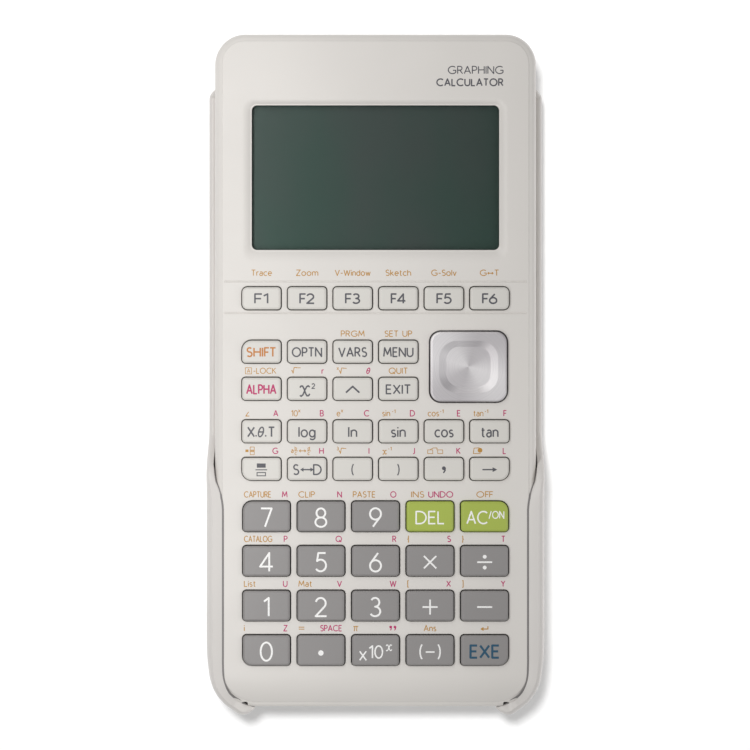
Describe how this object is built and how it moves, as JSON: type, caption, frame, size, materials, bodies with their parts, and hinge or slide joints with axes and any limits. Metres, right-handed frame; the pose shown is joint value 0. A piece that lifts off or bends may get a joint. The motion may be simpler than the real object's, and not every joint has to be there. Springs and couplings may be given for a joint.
{
  "type": "graphing calculator",
  "caption": "Pocket graphing calculator with a wide display, function keys, a round-cornered cursor pad and number keys, its hard slide case parked on its back.",
  "frame": {"origin": "on the desk under the middle of the calculator body, on the flat underside of the slide case", "axes": "+Z out of the keyboard face, +Y towards the display end, +X to the right as the display is read"},
  "size_m": [0.0886, 0.1782, 0.0229],
  "materials": {
    "shell": "warm off-white moulded plastic, fine satin grain",
    "case_shell": "warm off-white moulded plastic, smooth satin",
    "white_key": "off-white moulded plastic with printed dark grey legends",
    "grey_key": "mid grey moulded plastic with printed white legends",
    "green_key": "yellow green moulded plastic with printed white legends",
    "pad": "silver metallic coating with a spun texture",
    "carrier": "plain dark moulded plastic",
    "window": "clear polished acrylic",
    "lcd": "dark grey green display glass",
    "mat_rubber": "matt silicone rubber",
    "board": "green solder mask",
    "cell": "plain metal can with a plain sleeve"
  },
  "bodies": {
    "calculator_body": {"front_housing": "shell", "rear_housing": "shell", "display_window": "window", "lcd_panel": "lcd", "circuit_board": "board", "key_mat": "mat_rubber", "battery_1": "cell", "battery_2": "cell", "battery_3": "cell", "battery_4": "cell"},
    "battery_cover": {"battery_cover": "shell"},
    "slide_case": {"slide_case": "case_shell"},
    "cursor_carrier": {"cursor_pad_carrier": "carrier"},
    "cursor_pad": {"cursor_pad": "pad"},
    "key_f1": {"key_f1": "white_key"},
    "key_f2": {"key_f2": "white_key"},
    "key_f3": {"key_f3": "white_key"},
    "key_f4": {"key_f4": "white_key"},
    "key_f5": {"key_f5": "white_key"},
    "key_f6": {"key_f6": "white_key"},
    "key_shift": {"key_shift": "white_key"},
    "key_optn": {"key_optn": "white_key"},
    "key_vars": {"key_vars": "white_key"},
    "key_menu": {"key_menu": "white_key"},
    "key_alpha": {"key_alpha": "white_key"},
    "key_square": {"key_square": "white_key"},
    "key_power": {"key_power": "white_key"},
    "key_exit": {"key_exit": "white_key"},
    "key_variable": {"key_variable": "white_key"},
    "key_log": {"key_log": "white_key"},
    "key_ln": {"key_ln": "white_key"},
    "key_sin": {"key_sin": "white_key"},
    "key_cos": {"key_cos": "white_key"},
    "key_tan": {"key_tan": "white_key"},
    "key_fraction": {"key_fraction": "white_key"},
    "key_convert": {"key_convert": "white_key"},
    "key_open_paren": {"key_open_paren": "white_key"},
    "key_close_paren": {"key_close_paren": "white_key"},
    "key_comma": {"key_comma": "white_key"},
    "key_store": {"key_store": "white_key"},
    "key_7": {"key_7": "grey_key"},
    "key_8": {"key_8": "grey_key"},
    "key_9": {"key_9": "grey_key"},
    "key_del": {"key_del": "green_key"},
    "key_ac_on": {"key_ac_on": "green_key"},
    "key_4": {"key_4": "grey_key"},
    "key_5": {"key_5": "grey_key"},
    "key_6": {"key_6": "grey_key"},
    "key_multiply": {"key_multiply": "grey_key"},
    "key_divide": {"key_divide": "grey_key"},
    "key_1": {"key_1": "grey_key"},
    "key_2": {"key_2": "grey_key"},
    "key_3": {"key_3": "grey_key"},
    "key_plus": {"key_plus": "grey_key"},
    "key_minus": {"key_minus": "grey_key"},
    "key_0": {"key_0": "grey_key"},
    "key_point": {"key_point": "grey_key"},
    "key_exponent": {"key_exponent": "grey_key"},
    "key_negative": {"key_negative": "grey_key"},
    "key_exe": {"key_exe": "grey_key"}
  },
  "joints": [
    {"name": "battery_cover_release", "type": "hinge", "parent": "calculator_body", "child": "battery_cover", "pos_m": [0, -0.0735, 0.0048], "axis": [-1, 0, 0], "range_deg": [0, 2]},
    {"name": "case_slide", "type": "slide", "parent": "calculator_body", "child": "slide_case", "axis": [0, -1, 0], "range_m": [0, 0.18]},
    {"name": "cursor_pad_rock_x", "type": "hinge", "parent": "calculator_body", "child": "cursor_carrier", "pos_m": [0.02418, 0.00117, 0.0194], "axis": [1, 0, 0], "range_deg": [-2.5, 2.5]},
    {"name": "cursor_pad_rock_y", "type": "hinge", "parent": "cursor_carrier", "child": "cursor_pad", "pos_m": [0.02418, 0.00117, 0.0194], "axis": [0, 1, 0], "range_deg": [-2.5, 2.5]},
    {"name": "key_f1_press", "type": "slide", "parent": "calculator_body", "child": "key_f1", "axis": [0, 0, -1], "range_m": [0, 0.0009]},
    {"name": "key_f2_press", "type": "slide", "parent": "calculator_body", "child": "key_f2", "axis": [0, 0, -1], "range_m": [0, 0.0009]},
    {"name": "key_f3_press", "type": "slide", "parent": "calculator_body", "child": "key_f3", "axis": [0, 0, -1], "range_m": [0, 0.0009]},
    {"name": "key_f4_press", "type": "slide", "parent": "calculator_body", "child": "key_f4", "axis": [0, 0, -1], "range_m": [0, 0.0009]},
    {"name": "key_f5_press", "type": "slide", "parent": "calculator_body", "child": "key_f5", "axis": [0, 0, -1], "range_m": [0, 0.0009]},
    {"name": "key_f6_press", "type": "slide", "parent": "calculator_body", "child": "key_f6", "axis": [0, 0, -1], "range_m": [0, 0.0009]},
    {"name": "key_shift_press", "type": "slide", "parent": "calculator_body", "child": "key_shift", "axis": [0, 0, -1], "range_m": [0, 0.0009]},
    {"name": "key_optn_press", "type": "slide", "parent": "calculator_body", "child": "key_optn", "axis": [0, 0, -1], "range_m": [0, 0.0009]},
    {"name": "key_vars_press", "type": "slide", "parent": "calculator_body", "child": "key_vars", "axis": [0, 0, -1], "range_m": [0, 0.0009]},
    {"name": "key_menu_press", "type": "slide", "parent": "calculator_body", "child": "key_menu", "axis": [0, 0, -1], "range_m": [0, 0.0009]},
    {"name": "key_alpha_press", "type": "slide", "parent": "calculator_body", "child": "key_alpha", "axis": [0, 0, -1], "range_m": [0, 0.0009]},
    {"name": "key_square_press", "type": "slide", "parent": "calculator_body", "child": "key_square", "axis": [0, 0, -1], "range_m": [0, 0.0009]},
    {"name": "key_power_press", "type": "slide", "parent": "calculator_body", "child": "key_power", "axis": [0, 0, -1], "range_m": [0, 0.0009]},
    {"name": "key_exit_press", "type": "slide", "parent": "calculator_body", "child": "key_exit", "axis": [0, 0, -1], "range_m": [0, 0.0009]},
    {"name": "key_variable_press", "type": "slide", "parent": "calculator_body", "child": "key_variable", "axis": [0, 0, -1], "range_m": [0, 0.0009]},
    {"name": "key_log_press", "type": "slide", "parent": "calculator_body", "child": "key_log", "axis": [0, 0, -1], "range_m": [0, 0.0009]},
    {"name": "key_ln_press", "type": "slide", "parent": "calculator_body", "child": "key_ln", "axis": [0, 0, -1], "range_m": [0, 0.0009]},
    {"name": "key_sin_press", "type": "slide", "parent": "calculator_body", "child": "key_sin", "axis": [0, 0, -1], "range_m": [0, 0.0009]},
    {"name": "key_cos_press", "type": "slide", "parent": "calculator_body", "child": "key_cos", "axis": [0, 0, -1], "range_m": [0, 0.0009]},
    {"name": "key_tan_press", "type": "slide", "parent": "calculator_body", "child": "key_tan", "axis": [0, 0, -1], "range_m": [0, 0.0009]},
    {"name": "key_fraction_press", "type": "slide", "parent": "calculator_body", "child": "key_fraction", "axis": [0, 0, -1], "range_m": [0, 0.0009]},
    {"name": "key_convert_press", "type": "slide", "parent": "calculator_body", "child": "key_convert", "axis": [0, 0, -1], "range_m": [0, 0.0009]},
    {"name": "key_open_paren_press", "type": "slide", "parent": "calculator_body", "child": "key_open_paren", "axis": [0, 0, -1], "range_m": [0, 0.0009]},
    {"name": "key_close_paren_press", "type": "slide", "parent": "calculator_body", "child": "key_close_paren", "axis": [0, 0, -1], "range_m": [0, 0.0009]},
    {"name": "key_comma_press", "type": "slide", "parent": "calculator_body", "child": "key_comma", "axis": [0, 0, -1], "range_m": [0, 0.0009]},
    {"name": "key_store_press", "type": "slide", "parent": "calculator_body", "child": "key_store", "axis": [0, 0, -1], "range_m": [0, 0.0009]},
    {"name": "key_7_press", "type": "slide", "parent": "calculator_body", "child": "key_7", "axis": [0, 0, -1], "range_m": [0, 0.0009]},
    {"name": "key_8_press", "type": "slide", "parent": "calculator_body", "child": "key_8", "axis": [0, 0, -1], "range_m": [0, 0.0009]},
    {"name": "key_9_press", "type": "slide", "parent": "calculator_body", "child": "key_9", "axis": [0, 0, -1], "range_m": [0, 0.0009]},
    {"name": "key_del_press", "type": "slide", "parent": "calculator_body", "child": "key_del", "axis": [0, 0, -1], "range_m": [0, 0.0009]},
    {"name": "key_ac_on_press", "type": "slide", "parent": "calculator_body", "child": "key_ac_on", "axis": [0, 0, -1], "range_m": [0, 0.0009]},
    {"name": "key_4_press", "type": "slide", "parent": "calculator_body", "child": "key_4", "axis": [0, 0, -1], "range_m": [0, 0.0009]},
    {"name": "key_5_press", "type": "slide", "parent": "calculator_body", "child": "key_5", "axis": [0, 0, -1], "range_m": [0, 0.0009]},
    {"name": "key_6_press", "type": "slide", "parent": "calculator_body", "child": "key_6", "axis": [0, 0, -1], "range_m": [0, 0.0009]},
    {"name": "key_multiply_press", "type": "slide", "parent": "calculator_body", "child": "key_multiply", "axis": [0, 0, -1], "range_m": [0, 0.0009]},
    {"name": "key_divide_press", "type": "slide", "parent": "calculator_body", "child": "key_divide", "axis": [0, 0, -1], "range_m": [0, 0.0009]},
    {"name": "key_1_press", "type": "slide", "parent": "calculator_body", "child": "key_1", "axis": [0, 0, -1], "range_m": [0, 0.0009]},
    {"name": "key_2_press", "type": "slide", "parent": "calculator_body", "child": "key_2", "axis": [0, 0, -1], "range_m": [0, 0.0009]},
    {"name": "key_3_press", "type": "slide", "parent": "calculator_body", "child": "key_3", "axis": [0, 0, -1], "range_m": [0, 0.0009]},
    {"name": "key_plus_press", "type": "slide", "parent": "calculator_body", "child": "key_plus", "axis": [0, 0, -1], "range_m": [0, 0.0009]},
    {"name": "key_minus_press", "type": "slide", "parent": "calculator_body", "child": "key_minus", "axis": [0, 0, -1], "range_m": [0, 0.0009]},
    {"name": "key_0_press", "type": "slide", "parent": "calculator_body", "child": "key_0", "axis": [0, 0, -1], "range_m": [0, 0.0009]},
    {"name": "key_point_press", "type": "slide", "parent": "calculator_body", "child": "key_point", "axis": [0, 0, -1], "range_m": [0, 0.0009]},
    {"name": "key_exponent_press", "type": "slide", "parent": "calculator_body", "child": "key_exponent", "axis": [0, 0, -1], "range_m": [0, 0.0009]},
    {"name": "key_negative_press", "type": "slide", "parent": "calculator_body", "child": "key_negative", "axis": [0, 0, -1], "range_m": [0, 0.0009]},
    {"name": "key_exe_press", "type": "slide", "parent": "calculator_body", "child": "key_exe", "axis": [0, 0, -1], "range_m": [0, 0.0009]}
  ]
}
